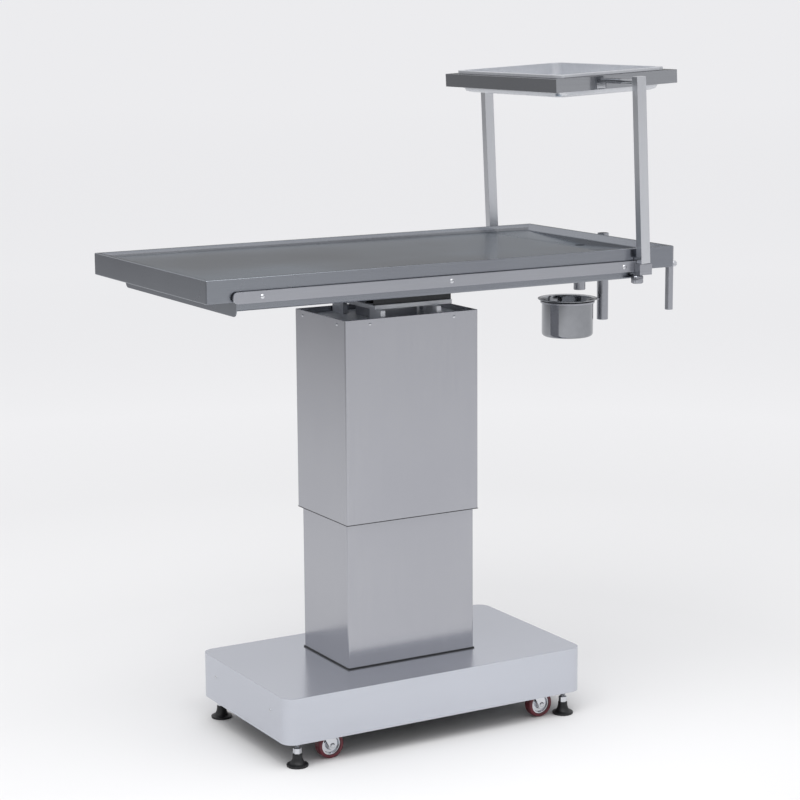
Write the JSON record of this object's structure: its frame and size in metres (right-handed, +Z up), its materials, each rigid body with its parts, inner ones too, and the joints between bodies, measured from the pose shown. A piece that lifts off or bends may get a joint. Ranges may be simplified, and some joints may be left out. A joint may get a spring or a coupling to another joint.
{
  "type": "veterinary exam table",
  "caption": "Veterinary exam table with a drained steel top, lift column on a wheeled base, rail-clamped instrument tray and hanging bucket.",
  "frame": {"origin": "Centre of the bounding box in X and Y, on the floor under the feet and casters", "axes": "+X along the tabletop towards its drain end; +Y across the top, away from the side with the corner pole socket; +Z up"},
  "size_m": [1.2508, 0.6722, 1.5363],
  "materials": {
    "brushed_steel": "brushed stainless sheet and tube",
    "pale_steel": "fine matte stainless sheet",
    "polished_steel": "polished stainless",
    "dark_steel": "dark painted steel",
    "bright_chrome": "bright plated steel",
    "red_tread": "dark red moulded tread",
    "black_rubber": "black moulded pad",
    "glide_plastic": "off-white bearing plastic"
  },
  "bodies": {
    "base": {"base_frame": "dark_steel", "column_plate": "dark_steel", "base_cover": "pale_steel", "control_box": "dark_steel", "lower_sleeve": "brushed_steel", "outer_mast": "dark_steel", "mast_glide": "glide_plastic", "actuator_motor": "dark_steel", "actuator_tube": "brushed_steel", "caster_plate_near_left": "bright_chrome", "caster_plate_near_right": "bright_chrome", "caster_plate_far_left": "bright_chrome", "caster_plate_far_right": "bright_chrome"},
    "swivel_near_left": {"caster_fork_near_left": "bright_chrome"},
    "wheel_near_left": {"wheel_hub_near_left": "bright_chrome", "wheel_tread_near_left": "red_tread"},
    "foot_near_left": {"foot_pad_near_left": "black_rubber", "foot_stem_near_left": "bright_chrome"},
    "swivel_near_right": {"caster_fork_near_right": "bright_chrome"},
    "wheel_near_right": {"wheel_hub_near_right": "bright_chrome", "wheel_tread_near_right": "red_tread"},
    "foot_near_right": {"foot_pad_near_right": "black_rubber", "foot_stem_near_right": "bright_chrome"},
    "swivel_far_left": {"caster_fork_far_left": "bright_chrome"},
    "wheel_far_left": {"wheel_hub_far_left": "bright_chrome", "wheel_tread_far_left": "red_tread"},
    "foot_far_left": {"foot_pad_far_left": "black_rubber", "foot_stem_far_left": "bright_chrome"},
    "swivel_far_right": {"caster_fork_far_right": "bright_chrome"},
    "wheel_far_right": {"wheel_hub_far_right": "bright_chrome", "wheel_tread_far_right": "red_tread"},
    "foot_far_right": {"foot_pad_far_right": "black_rubber", "foot_stem_far_right": "bright_chrome"},
    "carriage": {"inner_mast": "brushed_steel", "actuator_rod": "bright_chrome", "head_plate": "dark_steel", "upper_sleeve": "brushed_steel", "sleeve_hanger": "dark_steel", "support_channel_near": "dark_steel", "support_channel_far": "dark_steel", "undercover": "brushed_steel", "table_beam_near": "dark_steel", "table_beam_far": "dark_steel", "tabletop": "brushed_steel", "drain_stub": "brushed_steel", "rail_near": "brushed_steel", "rail_far": "brushed_steel", "end_tube": "brushed_steel", "bucket_ring": "brushed_steel", "pole_socket": "brushed_steel"},
    "stand": {"clamp_near": "brushed_steel", "clamp_far": "brushed_steel", "post_near": "brushed_steel", "post_far": "brushed_steel"},
    "clamp_knob_near": {"clamp_knob_near": "brushed_steel"},
    "clamp_knob_far": {"clamp_knob_far": "brushed_steel"},
    "tray": {"tray_frame": "brushed_steel"},
    "tray_pan": {"tray_pan": "polished_steel"},
    "bucket": {"bucket": "polished_steel"},
    "pole_screw": {"pole_screw": "bright_chrome"}
  },
  "joints": [
    {"name": "swivel_near_left", "type": "hinge", "parent": "base", "child": "swivel_near_left", "pos_m": [-0.30935, -0.198, 0.08], "axis": [0, 0, 1], "continuous": true},
    {"name": "roll_near_left", "type": "hinge", "parent": "swivel_near_left", "child": "wheel_near_left", "pos_m": [-0.29535, -0.198, 0.032], "axis": [0, 1, 0], "continuous": true},
    {"name": "level_near_left", "type": "slide", "parent": "base", "child": "foot_near_left", "axis": [0, 0, -1], "range_m": [-0.012, 0.015]},
    {"name": "swivel_near_right", "type": "hinge", "parent": "base", "child": "swivel_near_right", "pos_m": [0.25865, -0.198, 0.08], "axis": [0, 0, 1], "continuous": true},
    {"name": "roll_near_right", "type": "hinge", "parent": "swivel_near_right", "child": "wheel_near_right", "pos_m": [0.27265, -0.198, 0.032], "axis": [0, 1, 0], "continuous": true},
    {"name": "level_near_right", "type": "slide", "parent": "base", "child": "foot_near_right", "axis": [0, 0, -1], "range_m": [-0.012, 0.015]},
    {"name": "swivel_far_left", "type": "hinge", "parent": "base", "child": "swivel_far_left", "pos_m": [-0.30935, 0.17, 0.08], "axis": [0, 0, 1], "continuous": true},
    {"name": "roll_far_left", "type": "hinge", "parent": "swivel_far_left", "child": "wheel_far_left", "pos_m": [-0.29535, 0.17, 0.032], "axis": [0, 1, 0], "continuous": true},
    {"name": "level_far_left", "type": "slide", "parent": "base", "child": "foot_far_left", "axis": [0, 0, -1], "range_m": [-0.012, 0.015]},
    {"name": "swivel_far_right", "type": "hinge", "parent": "base", "child": "swivel_far_right", "pos_m": [0.25865, 0.17, 0.08], "axis": [0, 0, 1], "continuous": true},
    {"name": "roll_far_right", "type": "hinge", "parent": "swivel_far_right", "child": "wheel_far_right", "pos_m": [0.27265, 0.17, 0.032], "axis": [0, 1, 0], "continuous": true},
    {"name": "level_far_right", "type": "slide", "parent": "base", "child": "foot_far_right", "axis": [0, 0, -1], "range_m": [-0.012, 0.015]},
    {"name": "lift", "type": "slide", "parent": "base", "child": "carriage", "axis": [0, 0, 1], "range_m": [-0.33, 0]},
    {"name": "stand_slide", "type": "slide", "parent": "carriage", "child": "stand", "axis": [1, 0, 0], "range_m": [-0.9, 0]},
    {"name": "clamp_knob_near", "type": "hinge", "parent": "stand", "child": "clamp_knob_near", "pos_m": [0.46565, -0.313, 1.05], "axis": [0, 0, 1], "continuous": true},
    {"name": "clamp_knob_far", "type": "hinge", "parent": "stand", "child": "clamp_knob_far", "pos_m": [0.46565, 0.313, 1.05], "axis": [0, 0, 1], "continuous": true},
    {"name": "tray_tilt", "type": "hinge", "parent": "stand", "child": "tray", "pos_m": [0.45482, 0, 1.50657], "axis": [0, 1, 0], "range_deg": [-20, 20]},
    {"name": "pan_lift", "type": "slide", "parent": "tray", "child": "tray_pan", "axis": [-0.0454, 0, 0.999], "range_m": [0, 0.15]},
    {"name": "bucket_lift", "type": "slide", "parent": "carriage", "child": "bucket", "axis": [0, 0, 1], "range_m": [0, 0.06]},
    {"name": "pole_screw", "type": "hinge", "parent": "carriage", "child": "pole_screw", "pos_m": [0.58865, -0.281, 1.079], "axis": [1, 0, 0], "continuous": true}
  ]
}
